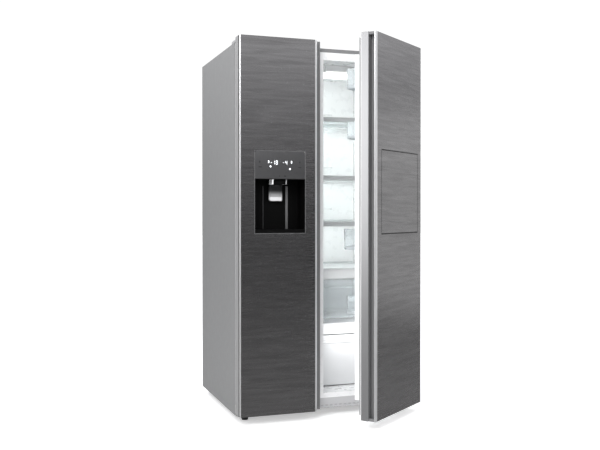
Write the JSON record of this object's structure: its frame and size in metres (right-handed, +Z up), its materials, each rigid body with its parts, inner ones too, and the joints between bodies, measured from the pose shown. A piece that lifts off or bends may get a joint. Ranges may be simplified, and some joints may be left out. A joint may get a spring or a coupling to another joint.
{
  "type": "side by side refrigerator",
  "caption": "Tall side by side refrigerator with hinged freezer and fridge doors, ice and water dispenser, drop-down home bar, shelves, door bins and sliding drawers.",
  "frame": {"origin": "centre of the footprint at floor level, as it stands with the right door partly open", "axes": "+Z up, the doors face -Y, +X to the right seen from the front"},
  "size_m": [0.9289, 1.0558, 1.792],
  "materials": {
    "cabinet_paint": "satin",
    "zinc_steel": "satin",
    "chassis_steel": "satin",
    "foam": "matte",
    "white_liner": "gloss",
    "sill_grey": "satin",
    "hinge_steel": "satin",
    "grey_plastic": "matte",
    "black_paint": "satin",
    "black_plastic": "satin",
    "gloss_black": "gloss",
    "fin_aluminium": "satin",
    "lamp": "gloss",
    "shelf_glass": "gloss",
    "shelf_trim": "gloss",
    "clear_bin": "gloss",
    "white_drawer": "gloss",
    "dark_steel": "satin",
    "bright_edge": "satin",
    "cap_grey": "satin",
    "gasket_grey": "matte",
    "panel_grey": "gloss",
    "paddle_grey": "gloss",
    "rubber_black": "matte"
  },
  "bodies": {
    "cabinet": {"cabinet_shell": "cabinet_paint", "back_panel": "zinc_steel", "base_frame": "chassis_steel", "insulation_foam": "foam", "freezer_liner": "white_liner", "fridge_liner": "white_liner", "post_cover": "white_liner", "toe_grille": "sill_grey", "door_hinges": "hinge_steel", "hinge_covers": "grey_plastic", "water_valve": "white_drawer", "power_inlet": "black_plastic", "compressor": "black_paint", "condenser": "black_paint", "fan_motors": "chassis_steel", "machine_cover": "grey_plastic", "evaporator": "fin_aluminium", "evaporator_cover": "white_liner", "fridge_duct": "white_liner", "lamp_housings": "white_liner", "lamp_lenses": "lamp", "shelf_glass": "shelf_glass", "shelf_trims": "shelf_trim", "crisper_cover": "shelf_trim", "drawer_divider": "shelf_trim", "freezer_shelves": "shelf_trim", "ice_maker": "white_drawer", "ice_bucket": "clear_bin"},
    "left_door": {"left_skin": "dark_steel", "left_edges": "bright_edge", "left_caps": "cap_grey", "left_liner": "white_liner", "left_foam": "foam", "left_gasket": "gasket_grey", "left_bins": "clear_bin", "dispenser_panel": "panel_grey", "dispenser_housing": "gloss_black", "drip_tray": "black_plastic"},
    "right_door": {"right_skin": "dark_steel", "right_edges": "bright_edge", "right_caps": "cap_grey", "right_liner": "white_liner", "right_foam": "foam", "right_gasket": "gasket_grey", "right_bins": "clear_bin", "bar_frame": "grey_plastic"},
    "bar_door": {"bar_skin": "dark_steel", "bar_liner": "white_liner"},
    "paddle": {"dispenser_paddle": "paddle_grey"},
    "chute_flap": {"ice_flap": "black_plastic"},
    "tray": {"shallow_tray": "clear_bin"},
    "crisper": {"crisper_drawer": "clear_bin"},
    "lower_crisper": {"lower_drawer": "white_drawer"},
    "freezer_box": {"freezer_drawer": "white_drawer"},
    "fan_condenser": {"condenser_fan": "black_plastic"},
    "fan_evaporator": {"evaporator_fan": "white_drawer"},
    "auger": {"ice_auger": "fin_aluminium"},
    "rollers": {"rear_rollers": "black_plastic"},
    "left_foot": {"foot_left": "rubber_black"},
    "right_foot": {"foot_right": "rubber_black"}
  },
  "joints": [
    {"name": "left_door_hinge", "type": "hinge", "parent": "cabinet", "child": "left_door", "pos_m": [-0.45276, -0.18928, 0.9], "axis": [0, 0, -1], "range_deg": [0, 115]},
    {"name": "right_door_hinge", "type": "hinge", "parent": "cabinet", "child": "right_door", "pos_m": [0.41724, -0.18928, 0.9], "axis": [0, 0, 1], "range_deg": [-38, 77]},
    {"name": "bar_door_hinge", "type": "hinge", "parent": "right_door", "child": "bar_door", "pos_m": [0.27914, -0.36823, 0.897], "axis": [0.788, 0.6157, 0], "range_deg": [0, 90]},
    {"name": "paddle_pivot", "type": "hinge", "parent": "left_door", "child": "paddle", "pos_m": [-0.27076, -0.17528, 1.114], "axis": [1, 0, 0], "range_deg": [0, 10], "stiffness_Nm_per_rad": 0.05, "springref_deg": -8.59},
    {"name": "chute_flap_pivot", "type": "hinge", "parent": "left_door", "child": "chute_flap", "pos_m": [-0.27076, -0.19378, 1.151], "axis": [1, 0, 0], "range_deg": [0, 60], "stiffness_Nm_per_rad": 0.01, "springref_deg": -28.65},
    {"name": "tray_slide", "type": "slide", "parent": "cabinet", "child": "tray", "axis": [0, -1, 0], "range_m": [0, 0.12]},
    {"name": "crisper_slide", "type": "slide", "parent": "cabinet", "child": "crisper", "axis": [0, -1, 0], "range_m": [0, 0.085]},
    {"name": "lower_crisper_slide", "type": "slide", "parent": "cabinet", "child": "lower_crisper", "axis": [0, -1, 0], "range_m": [0, 0.115]},
    {"name": "freezer_box_slide", "type": "slide", "parent": "cabinet", "child": "freezer_box", "axis": [0, -1, 0], "range_m": [0, 0.095]},
    {"name": "condenser_fan_spin", "type": "hinge", "parent": "cabinet", "child": "fan_condenser", "pos_m": [-0.19526, 0.38872, 0.14], "axis": [1, 0, 0], "continuous": true},
    {"name": "evaporator_fan_spin", "type": "hinge", "parent": "cabinet", "child": "fan_evaporator", "pos_m": [-0.25576, 0.39372, 1.392], "axis": [0, 1, 0], "continuous": true},
    {"name": "auger_spin", "type": "hinge", "parent": "cabinet", "child": "auger", "pos_m": [-0.27076, 0.14872, 1.296], "axis": [0, 1, 0], "continuous": true},
    {"name": "rear_roller_spin", "type": "hinge", "parent": "cabinet", "child": "rollers", "pos_m": [-0.01776, 0.47372, 0.017], "axis": [1, 0, 0], "continuous": true},
    {"name": "left_foot_turn", "type": "hinge", "parent": "cabinet", "child": "left_foot", "pos_m": [-0.40526, -0.12128, 0.01], "axis": [0, 0, 1], "continuous": true},
    {"name": "right_foot_turn", "type": "hinge", "parent": "cabinet", "child": "right_foot", "pos_m": [0.36974, -0.12128, 0.01], "axis": [0, 0, 1], "continuous": true}
  ]
}
